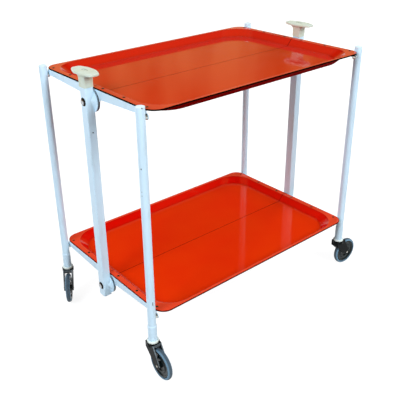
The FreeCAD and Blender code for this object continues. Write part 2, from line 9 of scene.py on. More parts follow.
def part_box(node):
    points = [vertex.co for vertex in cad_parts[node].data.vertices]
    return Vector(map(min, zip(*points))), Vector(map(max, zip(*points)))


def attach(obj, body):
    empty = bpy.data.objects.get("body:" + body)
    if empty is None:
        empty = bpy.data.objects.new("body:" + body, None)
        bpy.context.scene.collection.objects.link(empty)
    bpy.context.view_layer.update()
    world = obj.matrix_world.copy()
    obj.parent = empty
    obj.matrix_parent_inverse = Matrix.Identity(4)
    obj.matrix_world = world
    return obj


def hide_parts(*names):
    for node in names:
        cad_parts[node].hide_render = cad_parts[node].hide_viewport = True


# Looks of a folding two-tier serving trolley, in metres, in the frame of its solid parts.
# -Y is the front, +Z is up, and the floor is at zero.

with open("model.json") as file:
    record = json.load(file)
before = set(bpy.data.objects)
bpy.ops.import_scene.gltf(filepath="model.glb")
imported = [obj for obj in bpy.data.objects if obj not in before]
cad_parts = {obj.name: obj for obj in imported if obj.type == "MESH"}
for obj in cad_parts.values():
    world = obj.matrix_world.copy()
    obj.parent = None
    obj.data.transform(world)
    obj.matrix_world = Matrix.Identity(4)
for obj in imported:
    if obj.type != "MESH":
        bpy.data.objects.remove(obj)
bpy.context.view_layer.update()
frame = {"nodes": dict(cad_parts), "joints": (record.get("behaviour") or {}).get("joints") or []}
nodes = frame["nodes"]
joints = {joint["name"]: joint for joint in frame["joints"]}

MM = 0.001
ends = ("left", "right")
corners = [f"{side}_{end}" for side in ("front", "rear") for end in ends]
halves = [f"{level}_{side}" for level in ("upper", "lower") for side in ("front", "rear")]

# Sockets of a Mix node that blends two colours
FACTOR, FIRST, SECOND = 0, 6, 7

# Centre pivots, and the rims of the trays, which stand this far above them
pivot_to_rim = 28 * MM
upper_pivot_z = joints["upper_rear_fold"]["pos_m"][2]
lower_pivot_z = joints["lower_rear_fold"]["pos_m"][2]
upper_rim_z = upper_pivot_z + pivot_to_rim
lower_rim_z = lower_pivot_z + pivot_to_rim

# Trays: outlines of the rim and of the floor, and the widths of the marks along them
tray_low, tray_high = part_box("tray_upper_front")
tray_half_x = tray_high.x
tray_half_y = -tray_low.y
tray_corner_radius = 28 * MM
floor_half_x = 274.5 * MM
floor_half_y = 182.6 * MM
floor_corner_radius = 60 * MM
edge_depth = 1.1 * MM
edge_blur = 0.2 * MM
seam_half_width = 0.7 * MM
foot_shade_half_width = 5 * MM
flange_depth = 0.3 * MM
bend_start = 0.8 * MM
bend_depth = 3 * MM

# Centre bars, for the painted shade on the rims of their ears and round their bolts, and inside the tubes
ear_radius = 25 * MM
rim_line = 0.8 * MM
bolt_rim_radius = 5.2 * MM
bolt_foot_width = 1.5 * MM
bar_middle_x = 315.1 * MM
bar_half_y = 11 * MM
bar_bore_x = 8.6 * MM
bar_bore_y = 10.7 * MM
bar_gap = 0.3 * MM

# Knocks on the front left leg: middle, half width and half height
leg_knocks = (
    (Vector((-317.0, -194.2, 612.0)) * MM, 1.5 * MM, 1.5 * MM),
    (Vector((-322.8, -189.6, 493.7)) * MM, 1.1 * MM, 1.6 * MM),
    (Vector((-323.5, -188.6, 446.0)) * MM, 0.7 * MM, 0.8 * MM),
    (Vector((-323.5, -188.6, 437.5)) * MM, 0.7 * MM, 0.8 * MM),
    (Vector((-316.4, -194.7, 184.7)) * MM, 0.9 * MM, 5.5 * MM),
)

# Tyres: half widths of the tread band that is painted darker for its shade, and of the band in which the
# darkening fades out
dark_tread_half_width = 2.5 * MM
faded_half_width = 5 * MM

# Handles
plug_inset = 1.55 * MM
stem_corner = 2.6 * MM
stem_skirt = 0.8 * MM
stem_height = 17.5 * MM
flare_height = 10.5 * MM
flare_half_length = 31 * MM
cap_half_length = 38.5 * MM
cap_half_width = 18.5 * MM
cap_end_half_width = 10.5 * MM
cap_straight_half = 14 * MM
cap_corner = 2.5 * MM
cap_soft_corner = 1.2 * MM
cap_edge_radius = 2 * MM
cap_lip_radius = 0.8 * MM
dimple_length = 18 * MM
dimple_width = 6 * MM
dimple_depth = 1.5 * MM
dimple_line = 0.6 * MM
dimple_squareness = 6
crown_height = 0.6 * MM
stem_side_cuts = 25
flare_steps = 14
round_steps = 5
top_steps = 36

# Wheel hubs: millimetres from the axle and from the wheel's middle plane, from the bore out to the rim
hub_half_profile = (
    (2.1, 8.75),
    (6.8, 8.75),
    (7.4, 1.0),
    (12.8, 1.0),
    (15.4, 4.7),
    (18.0, 4.7),
    (20.2, 2.2),
    (24.6, 2.2),
    (26.6, 4.9),
    (29.0, 4.9),
    (31.0, 3.4),
)
hub_steps = 96

# Rounding of the hubs' corners: slight, but wide at the one with this index, where the web is dished
hub_edge_radius = 0.6 * MM
hub_bowl_corner = 3
hub_bowl_radius = 2.6 * MM

# Finish of the pieces shaped here
arc_segments = 6
merge_distance = 0.001 * MM
sharp_angle = math.radians(35)

# Floor and backdrop: the floor is a little grey near the trolley, for its shadow, and white far off
floor_radius = 24
floor_segments = 64
backdrop_height = 5.4
grey_radius = 1.2
white_radius = 5
grey_strength = 0.87

# Room that the trays mirror, by the height of the direction looked in: 0 is level and 1 is straight up
warm_top = 0.36
dark_foot = 0.44
dark_top = 0.6
pale_foot = 0.78
streaks_across = 15

# Point that the lamps face
lamp_aim = Vector((0, 0, 0.35))

# Camera
camera_place = Vector((-0.8945, -1.0361, 0.9681))
camera_aim = Vector((0.5569, 0.7038, -0.4410))
camera_roll = math.radians(-1.38)
camera_lens = 54.65
camera_shift = (0.0424, -0.0475)


# Colours and nodes

def linear(code):
    """Linear colour of an sRGB hex value."""
    channels = [int(code[start:start + 2], 16) / 255 for start in (0, 2, 4)]
    return [*(c / 12.92 if c <= 0.04045 else ((c + 0.055) / 1.055) ** 2.4 for c in channels), 1.0]


def per_mm(size):
    """Texture scale whose features are about this many millimetres across."""
    return 1 / (size * MM)


def add(tree, kind, sockets=None, **settings):
    """Adds a node with its settings, and fills its sockets or links them to other nodes."""
    made = tree.nodes.new("ShaderNode" + kind)
    for name, value in settings.items():
        setattr(made, name, value)
    for socket, value in (sockets or {}).items():
        if isinstance(value, bpy.types.Node):
            value = next(output for output in value.outputs if output.enabled)
        if isinstance(value, bpy.types.NodeSocket):
            tree.links.new(value, made.inputs[socket])
        else:
            made.inputs[socket].default_value = value
    return made


def new_material(name):
    """Empty material, its tree, and the outputs of its texture coordinates."""
    material = bpy.data.materials.new(name)
    material.use_nodes = True
    tree = material.node_tree
    tree.nodes.clear()
    return material, tree, add(tree, "TexCoord").outputs


def surface(tree, sockets):
    """Ends a material with one shader."""
    add(tree, "OutputMaterial", {"Surface": add(tree, "BsdfPrincipled", sockets)})


# Materials

def past_outline(tree, place, half_x, half_y, radius):
    """Distance outside a round-cornered outline about the tray's middle, less than zero inside it."""
    inner = (half_x - radius, half_y - radius, 1.0)
    away = add(tree, "VectorMath", {0: place}, operation="ABSOLUTE")
    over = add(tree, "VectorMath", {0: away, 1: inner}, operation="SUBTRACT")
    outside = add(tree, "VectorMath", {0: over, 1: (0, 0, 0)}, operation="MAXIMUM")
    reach = add(tree, "VectorMath", {0: outside}, operation="LENGTH")
    return add(tree, "Math", {0: reach, 1: radius}, operation="SUBTRACT")


def cut_edge(tree, place, past_rim):
    """One along the rim's cut edge and the lips of the seam, zero elsewhere."""
    rim = add(tree, "MapRange", {
        "Value": past_rim, "From Min": -edge_depth, "From Max": edge_blur - edge_depth})
    away = add(tree, "VectorMath", {0: place}, operation="ABSOLUTE")
    across = add(tree, "SeparateXYZ", {0: away}).outputs["Y"]
    seam = add(tree, "MapRange", {
        "Value": across, "From Min": seam_half_width, "From Max": 0.7 * seam_half_width})
    return add(tree, "Math", {0: rim, 1: seam}, operation="MAXIMUM")


def melamine_laminate(name, rim_z, walls, flats, core, gloss):
    """Melamine laminate pressed against a polished plate: deep red under a hard mirror gloss.
    Its reflections are tinted warm, standing in for the warm light of the room it mirrors, and wiping left
    faint hazy streaks.
    The flats are more orange than the walls, in patches. The flange has a painted pale sheen, and painted
    shade darkens the bends below the rim and the foot of the walls.
    The cut edge shows the dark resin core, and the back is dull and painted a darker red for its shade."""
    material, tree, coords = new_material(name)
    place = coords["Object"]
    upward = add(tree, "SeparateXYZ", {0: coords["Normal"]}).outputs["Z"]
    back = add(tree, "MapRange", {"Value": upward, "From Min": -0.15, "From Max": -0.35})
    flat = add(tree, "MapRange", {"Value": upward, "From Min": 0.85, "From Max": 0.98})
    cloud = add(tree, "TexNoise", {"Vector": place, "Scale": per_mm(140), "Detail": 2})
    patchy = add(tree, "MapRange", {"Value": cloud, "From Min": 0.3, "From Max": 0.7, "To Min": 0.65})
    flat_orange = add(tree, "Math", {0: flat, 1: patchy}, operation="MULTIPLY")
    red = add(tree, "Mix", {FACTOR: flat_orange, FIRST: linear(walls), SECOND: linear(flats)}, data_type="RGBA")
    # Painted shade: the bends below the rim and the foot of the walls are drawn darker, for the shade in them
    past_floor = past_outline(tree, place, floor_half_x, floor_half_y, floor_corner_radius)
    off_foot = add(tree, "Math", {0: past_floor}, operation="ABSOLUTE")
    foot = add(tree, "MapRange", {"Value": off_foot, "From Min": foot_shade_half_width, "From Max": 0.0})
    height = add(tree, "SeparateXYZ", {0: place}).outputs["Z"]
    drop = add(tree, "Math", {0: rim_z, 1: height}, operation="SUBTRACT")
    below_rim = add(tree, "MapRange", {"Value": drop, "From Min": flange_depth, "From Max": bend_start})
    bend = add(tree, "MapRange", {"Value": drop, "From Min": bend_depth, "From Max": bend_start})
    rim_bend = add(tree, "Math", {0: bend, 1: below_rim}, operation="MULTIPLY")
    bends = add(tree, "Math", {0: foot, 1: rim_bend}, operation="MAXIMUM")
    grime_and_shade = add(tree, "Math", {0: bends, 1: 0.3}, operation="MULTIPLY")
    bend_shaded = add(tree, "Mix", {FACTOR: grime_and_shade, FIRST: red, SECOND: linear("860A00")}, data_type="RGBA")
    # Painted sheen: the top of the flange is drawn paler, for the light it catches
    flange_sheen = add(tree, "MapRange", {"Value": below_rim, "To Min": 0.14, "To Max": 0.0})
    rubbed_and_sheen = add(tree, "Mix", {FACTOR: flange_sheen, FIRST: bend_shaded, SECOND: linear("FF8A66")}, data_type="RGBA")
    # Painted shade: the back is drawn a darker red, for the shade under the tray
    both = add(tree, "Mix", {FACTOR: back, FIRST: rubbed_and_sheen, SECOND: linear("8A0300")}, data_type="RGBA")
    past_rim = past_outline(tree, place, tray_half_x, tray_half_y, tray_corner_radius)
    edge = cut_edge(tree, place, past_rim)
    along = add(tree, "Mapping", {"Vector": place, "Scale": (0.1, 1, 1)})
    wiped = add(tree, "TexNoise", {"Vector": along, "Scale": per_mm(9), "Detail": 6, "Roughness": 0.65})
    patches = add(tree, "TexNoise", {"Vector": place, "Scale": per_mm(60), "Detail": 3})
    haze = add(tree, "Math", {0: wiped, 1: patches}, operation="MULTIPLY")
    polish = add(tree, "MapRange", {
        "Value": haze, "From Min": 0.15, "From Max": 0.4, "To Min": 0.05, "To Max": 0.12})
    dull = add(tree, "Math", {0: back, 1: edge}, operation="MAXIMUM")
    ripple = add(tree, "TexNoise", {"Vector": place, "Scale": per_mm(45), "Detail": 1})
    surface(tree, {
        "Base Color": add(tree, "Mix", {FACTOR: edge, FIRST: both, SECOND: linear(core)}, data_type="RGBA"),
        "Roughness": add(tree, "MapRange", {"Value": dull, "To Min": polish, "To Max": 0.6}),
        "IOR": add(tree, "MapRange", {"Value": dull, "To Min": 1.5, "To Max": 1.1}),
        "Specular IOR Level": add(tree, "MapRange", {"Value": dull, "To Min": gloss, "To Max": 0.05}),
        # Warm tint on the reflections, standing in for the warm light of the room they mirror
        "Specular Tint": linear("FFD668"),
        "Normal": add(tree, "Bump", {"Height": ripple, "Distance": 0.15 * MM, "Strength": 0.3}),
    })
    return material


def from_pivot(tree, place):
    """Distance from the axis of the nearer centre pivot."""
    spot = add(tree, "SeparateXYZ", {0: place})
    middle_z = (upper_pivot_z + lower_pivot_z) / 2
    height = add(tree, "Math", {0: spot.outputs["Z"], 1: middle_z}, operation="SUBTRACT")
    off_middle = add(tree, "Math", {0: height}, operation="ABSOLUTE")
    rise = add(tree, "Math", {0: off_middle, 1: upper_pivot_z - middle_z}, operation="SUBTRACT")
    offset = add(tree, "CombineXYZ", {"Y": spot.outputs["Y"], "Z": rise})
    return add(tree, "VectorMath", {0: offset}, operation="LENGTH")


def shaded_gaps(tree, coords):
    """One on the rims of the ears and discs at the centre pivots, painted dark for the shade in the gap
    between them, and inside the bars, painted dark for the shade in the tubes.
    """
    folded = add(tree, "VectorMath", {0: coords["Object"]}, operation="ABSOLUTE")
    away = add(tree, "SeparateXYZ", {0: folded})
    reach = from_pivot(tree, coords["Object"])
    near_rim = add(tree, "Math", {0: reach, 1: ear_radius, 2: rim_line}, operation="COMPARE")
    facing = add(tree, "SeparateXYZ", {0: coords["Normal"]}).outputs["X"]
    sideways = add(tree, "Math", {0: facing, 1: 0.0, 2: 0.5}, operation="COMPARE")
    past_bar = bar_half_y + bar_gap
    beside_bar = add(tree, "Math", {0: away.outputs["Y"], 1: past_bar}, operation="GREATER_THAN")
    on_edge = add(tree, "Math", {0: near_rim, 1: sideways}, operation="MULTIPLY")
    rims = add(tree, "Math", {0: on_edge, 1: beside_bar}, operation="MULTIPLY")
    # Painted shade inside the bores of the bars
    within_x = add(tree, "Math", {0: away.outputs["X"], 1: bar_middle_x, 2: bar_bore_x}, operation="COMPARE")
    within_y = add(tree, "Math", {0: away.outputs["Y"], 1: bar_bore_y}, operation="LESS_THAN")
    inside = add(tree, "Math", {0: within_x, 1: within_y}, operation="MULTIPLY")
    return add(tree, "Math", {0: rims, 1: inside}, operation="MAXIMUM")


def knocks(tree, coords):
    """One on the knocks of the front left leg."""
    total = None
    for middle, half_width, half_height in leg_knocks:
        off = add(tree, "VectorMath", {0: coords["Object"], 1: middle}, operation="SUBTRACT")
        sizes = (1 / half_width, 1 / half_width, 1 / half_height)
        spread = add(tree, "VectorMath", {0: off, 1: sizes}, operation="MULTIPLY")
        reach = add(tree, "VectorMath", {0: spread}, operation="LENGTH")
        mark = add(tree, "MapRange", {"Value": reach, "From Min": 1.15, "From Max": 0.85})
        total = mark if total is None else add(tree, "Math", {0: total, 1: mark}, operation="MAXIMUM")
    return total


def hollow_shade(tree, coords):
    """Painted shade along the edge of the hollow in the top of each handle."""
    folded = add(tree, "VectorMath", {0: coords["Object"]}, operation="ABSOLUTE")
    end = (bar_middle_x, (dimple_length - dimple_width) / 2, 0)
    from_end = add(tree, "VectorMath", {0: folded, 1: end}, operation="SUBTRACT")
    off = add(tree, "SeparateXYZ", {0: from_end}).outputs
    past_end = add(tree, "Math", {0: off["Y"], 1: 0.0}, operation="MAXIMUM")
    offset = add(tree, "CombineXYZ", {"X": off["X"], "Y": past_end})
    reach = add(tree, "VectorMath", {0: offset}, operation="LENGTH")
    from_edge = add(tree, "Math", {0: reach, 1: dimple_width / 2}, operation="SUBTRACT")
    beside = add(tree, "Math", {0: from_edge}, operation="ABSOLUTE")
    return add(tree, "MapRange", {
        "Value": beside, "From Min": 1.5 * dimple_line, "From Max": 0.5 * dimple_line, "To Max": 0.5})


def stoved_enamel(name, marks):
    """Stoved enamel on steel: cool white, softly glossy with a faint orange peel.
    Knocks chip it to dark steel in small clustered specks, and handling greys it in long patches."""
    material, tree, coords = new_material(name)
    place = coords["Object"]
    cloud = add(tree, "TexNoise", {"Vector": place, "Scale": per_mm(50), "Detail": 3})
    clean = add(tree, "Mix", {
        FACTOR: cloud, FIRST: linear("DAF2FF"), SECOND: linear("CFEAFC")}, data_type="RGBA")
    upright = add(tree, "Mapping", {"Vector": place, "Scale": (1, 1, 0.15)})
    rubbed_and_sheen = add(tree, "TexNoise", {"Vector": upright, "Scale": per_mm(14), "Detail": 5, "Roughness": 0.6})
    grime_and_shade = add(tree, "MapRange", {"Value": rubbed_and_sheen, "From Min": 0.55, "From Max": 0.8, "To Max": 0.35})
    handled = add(tree, "Mix", {FACTOR: grime_and_shade, FIRST: clean, SECOND: linear("A9B0AE")}, data_type="RGBA")
    fine = add(tree, "TexNoise", {"Vector": place, "Scale": per_mm(3.2), "Detail": 4, "Roughness": 0.6})
    specks = add(tree, "MapRange", {"Value": fine, "From Min": 0.7, "From Max": 0.72})
    broad = add(tree, "TexNoise", {"Vector": place, "Scale": per_mm(70), "Detail": 2})
    clusters = add(tree, "MapRange", {"Value": broad, "From Min": 0.52, "From Max": 0.64})
    chips = add(tree, "Math", {0: specks, 1: clusters}, operation="MULTIPLY")
    # The marks are the leg's knocks, and on the frame the painted shade of its gaps and bores; both take the
    # dark steel colour
    bare_and_shaded = add(tree, "Math", {0: chips, 1: marks(tree, coords)}, operation="MAXIMUM")
    peel = add(tree, "TexNoise", {"Vector": place, "Scale": per_mm(2.5), "Detail": 2})
    surface(tree, {
        "Base Color": add(tree, "Mix", {
            FACTOR: bare_and_shaded, FIRST: handled, SECOND: linear("221E1B")}, data_type="RGBA"),
        "Roughness": add(tree, "MapRange", {
            "Value": grime_and_shade, "From Max": 0.35, "To Min": 0.28, "To Max": 0.45}),
        "IOR": 1.5,
        "Normal": add(tree, "Bump", {"Height": peel, "Distance": 0.05 * MM, "Strength": 0.35}),
    })
    return material


def aged_moulding(name, clean, yellowed, marks=None):
    """Moulded plastic gone slightly yellow: soft satin with fine rubbed scratches and a few stains."""
    material, tree, coords = new_material(name)
    place = coords["Object"]
    cloud = add(tree, "TexNoise", {"Vector": place, "Scale": per_mm(22), "Detail": 3})
    age = add(tree, "MapRange", {"Value": cloud, "From Min": 0.35, "From Max": 0.7})
    base = add(tree, "Mix", {FACTOR: age, FIRST: linear(clean), SECOND: linear(yellowed)}, data_type="RGBA")
    fine = add(tree, "TexNoise", {"Vector": place, "Scale": per_mm(4.5), "Detail": 4, "Roughness": 0.6})
    stains = add(tree, "MapRange", {"Value": fine, "From Min": 0.7, "From Max": 0.74, "To Max": 0.8})
    broad = add(tree, "TexNoise", {"Vector": place, "Scale": per_mm(30), "Detail": 2})
    spread = add(tree, "MapRange", {"Value": broad, "From Min": 0.5, "From Max": 0.6})
    marked = add(tree, "Math", {0: stains, 1: spread}, operation="MULTIPLY")
    # Extra marks, such as the painted shade along a handle's hollow, take the stain colour
    if marks is not None:
        marked = add(tree, "Math", {0: marked, 1: marks(tree, coords)}, operation="MAXIMUM")
    lengthwise = add(tree, "Mapping", {"Vector": place, "Scale": (1, 0.2, 1)})
    rubbed_and_sheen = add(tree, "TexNoise", {"Vector": lengthwise, "Scale": per_mm(2), "Detail": 3})
    surface(tree, {
        "Base Color": add(tree, "Mix", {
            FACTOR: marked, FIRST: base, SECOND: linear("5A5644")}, data_type="RGBA"),
        "Roughness": add(tree, "MapRange", {
            "Value": rubbed_and_sheen, "From Min": 0.3, "From Max": 0.7, "To Min": 0.3, "To Max": 0.48}),
        "IOR": 1.49,
        "Normal": add(tree, "Bump", {"Height": rubbed_and_sheen, "Distance": 0.04 * MM, "Strength": 0.3}),
    })
    return material


def filled_nylon(name, dark, dusty, gloss, smooth, rough, lit_side=None):
    """Moulded nylon: near black and satin, with a fine spark-eroded grain and a little dust settled on it.
    Faces turned to the lit side are given a painted paler highlight, for the light caught by the leading
    edges."""
    material, tree, coords = new_material(name)
    place = coords["Object"]
    cloud = add(tree, "TexNoise", {"Vector": place, "Scale": per_mm(9), "Detail": 5, "Roughness": 0.6})
    dust = add(tree, "MapRange", {"Value": cloud, "From Min": 0.5, "From Max": 0.8, "To Max": 0.2})
    # The real grain is finer, and is drawn this coarse so that it shows
    grain = add(tree, "TexNoise", {"Vector": place, "Scale": per_mm(0.9), "Detail": 2})
    base = add(tree, "Mix", {FACTOR: dust, FIRST: linear(dark), SECOND: linear(dusty)}, data_type="RGBA")
    if lit_side is not None:
        # Painted highlight on the faces turned to the light
        facing = add(tree, "VectorMath", {0: coords["Normal"], 1: lit_side}, operation="DOT_PRODUCT")
        edge_highlight = add(tree, "MapRange", {"Value": facing, "From Min": 0.75, "From Max": 0.95, "To Max": 0.7})
        base = add(tree, "Mix", {FACTOR: edge_highlight, FIRST: base, SECOND: linear("8E979C")}, data_type="RGBA")
    surface(tree, {
        "Base Color": base,
        "Roughness": add(tree, "MapRange", {
            "Value": grain, "From Min": 0.3, "From Max": 0.7, "To Min": smooth, "To Max": rough}),
        "IOR": 1.3,
        "Specular IOR Level": gloss,
        "Normal": add(tree, "Bump", {"Height": grain, "Distance": 0.03 * MM, "Strength": 0.4}),
    })
    return material


def blue_grey_rubber(name, roll):
    """Moulded rubber tyre: blue-grey and matt, painted darker on the tread for its shade."""
    material, tree, coords = new_material(name)
    place = coords["Object"]
    from_hub = add(tree, "VectorMath", {0: place, 1: roll["pos_m"]}, operation="SUBTRACT")
    sideways = add(tree, "VectorMath", {0: from_hub, 1: roll["axis"]}, operation="DOT_PRODUCT")
    off_middle = add(tree, "Math", {0: sideways}, operation="ABSOLUTE")
    tread = add(tree, "MapRange", {
        "Value": off_middle, "From Min": faded_half_width, "From Max": dark_tread_half_width})
    scuffs = add(tree, "TexNoise", {"Vector": place, "Scale": per_mm(5), "Detail": 5, "Roughness": 0.65})
    clean = add(tree, "Mix", {
        FACTOR: scuffs, FIRST: linear("62869E"), SECOND: linear("7A9DB4")}, data_type="RGBA")
    # Painted shade on the tread
    shaded_tread = add(tree, "Mix", {
        FACTOR: scuffs, FIRST: linear("33424E"), SECOND: linear("52636F")}, data_type="RGBA")
    surface(tree, {
        "Base Color": add(tree, "Mix", {FACTOR: tread, FIRST: clean, SECOND: shaded_tread}, data_type="RGBA"),
        "Roughness": add(tree, "MapRange", {
            "Value": scuffs, "From Min": 0.3, "From Max": 0.7, "To Min": 0.48, "To Max": 0.7}),
        "IOR": 1.52,
        "Normal": add(tree, "Bump", {"Height": scuffs, "Distance": 0.12 * MM, "Strength": 0.5}),
    })
    return material


def plated_metal(name, bright, tarnish, smooth, rough, patch_size):
    """Plated or bare metal: bright where rubbed, dulled in patches by tarnish."""
    material, tree, coords = new_material(name)
    cloud = add(tree, "TexNoise", {"Vector": coords["Object"], "Scale": per_mm(patch_size), "Detail": 4})
    patches = add(tree, "MapRange", {"Value": cloud, "From Min": 0.42, "From Max": 0.7})
    surface(tree, {
        "Base Color": add(tree, "Mix", {
            FACTOR: patches, FIRST: linear(bright), SECOND: linear(tarnish)}, data_type="RGBA"),
        "Metallic": 1.0,
        "Roughness": add(tree, "MapRange", {"Value": patches, "To Min": smooth, "To Max": rough}),
    })
    return material


def bolt_chrome():
    """Chromed steel bolt heads: clear mirrors, rougher round the foot, where they are painted nearly black
    for the shade and dark reflections there.
    """
    material, tree, coords = new_material("bolt_chrome")
    reach = from_pivot(tree, coords["Object"])
    # Painted shade and dark reflection round the foot of each head
    foot = add(tree, "MapRange", {
        "Value": reach, "From Min": bolt_rim_radius, "From Max": bolt_rim_radius + bolt_foot_width})
    surface(tree, {
        "Base Color": add(tree, "Mix", {
            FACTOR: foot, FIRST: linear("B4B8BC"), SECOND: linear("2A2828")}, data_type="RGBA"),
        "Metallic": 1.0,
        "Roughness": add(tree, "MapRange", {"Value": foot, "To Min": 0.12, "To Max": 0.4}),
    })
    return material


def fork_front(corner):
    """Direction that the leading edges of a fork's cheeks face: square to the line from stem to axle."""
    lean = Vector(joints[corner + "_roll"]["pos_m"]) - Vector(joints[corner + "_swivel"]["pos_m"])
    across = Vector(joints[corner + "_roll"]["axis"])
    front = across.cross(lean).normalized()
    return front if front.z > 0 else -front


def dress(material, *names):
    """Gives solid nodes a material."""
    for name in names:
        nodes[name].material_slots[0].material = material


def dress_nodes():
    """Materials of the solid nodes that keep their own shape."""
    # The two trays are one laminate drawn as two copies: the lower one is painted brighter, to make up for
    # the shade of the upper tray over it, and the upper one's cut edge is painted near black, also for the
    # shade under its rim
    upper = melamine_laminate("melamine_laminate_upper", upper_rim_z,
                              walls="C41702", flats="C61E02", core="060303", gloss=0.34)
    lower = melamine_laminate("melamine_laminate_lower", lower_rim_z,
                              walls="D40C02", flats="DC3002", core="5A0C06", gloss=0.3)
    dress(upper, "tray_upper_front", "tray_upper_rear")
    dress(lower, "tray_lower_front", "tray_lower_rear")
    frame_enamel = stoved_enamel("stoved_enamel_frame", shaded_gaps)
    dress(frame_enamel, "centre_bar_left", "centre_bar_right", "centre_spacers")
    dress(frame_enamel, *[f"arm_{half}_{end}" for half in halves for end in ends])
    leg_enamel = stoved_enamel("stoved_enamel_legs", knocks)
    dress(leg_enamel, *["leg_" + corner for corner in corners])
    white = aged_moulding("white_polystyrene", clean="DCEFF6", yellowed="D6EAEE", marks=knocks)
    dress(white, *["leg_cap_" + corner for corner in corners])
    ivory = aged_moulding("ivory_polystyrene", clean="EAF2EE", yellowed="E4EADF")
    dress(ivory, *["castor_socket_" + corner for corner in corners])
    for corner in corners:
        black = filled_nylon("black_nylon_" + corner, dark="06090B", dusty="1A1E1D",
                             gloss=0.15, smooth=0.25, rough=0.4, lit_side=fork_front(corner))
        dress(black, "castor_fork_" + corner)
        dress(blue_grey_rubber("rubber_" + corner, joints[corner + "_roll"]), "wheel_tyre_" + corner)
    dress(bolt_chrome(), "centre_bolts")
    zinc = plated_metal("zinc_plate", bright="C9CBC6", tarnish="8F8F88", smooth=0.25, rough=0.5, patch_size=3)
    dress(zinc, "centre_nuts", *["leg_pins_" + corner for corner in corners])
    dress(zinc, *[f"castor_{piece}_{corner}" for piece in ("stem", "axle") for corner in corners])
    brass = plated_metal("tarnished_brass", bright="6B5230", tarnish="33291A",
                         smooth=0.35, rough=0.6, patch_size=2)
    dress(brass, *["tray_rivets_" + half for half in halves])


# Pieces shaped here

def new_piece(name, shape, material, body, node):
    """Smooth object made from a finished bmesh, standing in for a solid node on its body."""
    bmesh.ops.recalc_face_normals(shape, faces=shape.faces)
    for face in shape.faces:
        face.smooth = True
    mesh = bpy.data.meshes.new(name)
    shape.to_mesh(mesh)
    shape.free()
    mesh.set_sharp_from_angle(angle=sharp_angle)
    mesh.materials.append(material)
    piece = bpy.data.objects.new(name, mesh)
    bpy.context.scene.collection.objects.link(piece)
    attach(piece, body)
    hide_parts(node)


def turned_hub(corner, material):
    """Hub turned about its axle: long boss, dished web, a raised ring and a lipped rim."""
    roll = joints[corner + "_roll"]
    near_side = [Vector((radius, 0, offset)) * MM for radius, offset in hub_half_profile]
    far_side = [Vector((point.x, 0, -point.z)) for point in reversed(near_side)]
    shape = bmesh.new()
    profile = [shape.verts.new(point) for point in near_side + far_side]
    for start, stop in zip(profile, profile[1:] + profile[:1]):
        shape.edges.new((start, stop))
    bowls = [profile[hub_bowl_corner], profile[-1 - hub_bowl_corner]]
    edges = [vert for vert in profile if vert not in bowls]
    for verts, radius in ((edges, hub_edge_radius), (bowls, hub_bowl_radius)):
        bmesh.ops.bevel(shape, geom=verts, offset=radius, offset_type="OFFSET",
                        segments=arc_segments, profile=0.5, affect="VERTICES", material=-1)
    bmesh.ops.spin(shape, geom=[*shape.verts, *shape.edges], cent=(0, 0, 0), axis=(0, 0, 1),
                   angle=math.tau, steps=hub_steps, use_merge=True)
    bmesh.ops.remove_doubles(shape, verts=shape.verts, dist=merge_distance)
    turn = Vector(roll["axis"]).to_track_quat("Z", "Y").to_matrix().to_4x4()
    bmesh.ops.transform(shape, matrix=Matrix.Translation(roll["pos_m"]) @ turn, verts=shape.verts)
    new_piece("turned_hub_" + corner, shape, material,
              corner + "_wheel", "wheel_hub_" + corner)


def cap_width_at(y):
    """Half width of a handle's cap at a distance from its middle: straight, tapering, then a round corner."""
    past = abs(y) - cap_straight_half
    eased = (past + math.hypot(past, cap_soft_corner)) / 2
    slope = (cap_half_width - cap_end_half_width) / (cap_half_length - cap_straight_half)
    into_corner = max(abs(y) - (cap_half_length - cap_corner), 0)
    rounding = cap_corner - math.sqrt(max(cap_corner ** 2 - into_corner ** 2, 0))
    return cap_half_width - slope * eased - rounding


def dimple(x, y):
    """Depth of the oblong hollow in the top of the cap."""
    run = (dimple_length - dimple_width) / 2
    off = math.hypot(x, max(abs(y) - run, 0)) / (dimple_width / 2)
    return dimple_depth * max(1 - off ** dimple_squareness, 0)


def quarter_turn(steps, first=0):
    """Angles of a quarter turn in equal steps."""
    return [math.pi / 2 * step / steps for step in range(first, steps + 1)]


def stem_outline(half_x, half_y):
    """New bmesh with the flat outline of a stem, round at the corners and finely divided along its sides."""
    shape = bmesh.new()
    bmesh.ops.create_grid(shape, x_segments=1, y_segments=1, size=1)
    bmesh.ops.scale(shape, vec=(half_x, half_y, 1), verts=shape.verts)
    bmesh.ops.bevel(shape, geom=list(shape.verts), offset=stem_corner, offset_type="OFFSET",
                    segments=arc_segments, profile=0.5, affect="VERTICES", material=-1)
    sides = [edge for edge in shape.edges if edge.calc_length() > 2 * stem_corner]
    bmesh.ops.subdivide_edges(shape, edges=sides, cuts=stem_side_cuts)
    return shape


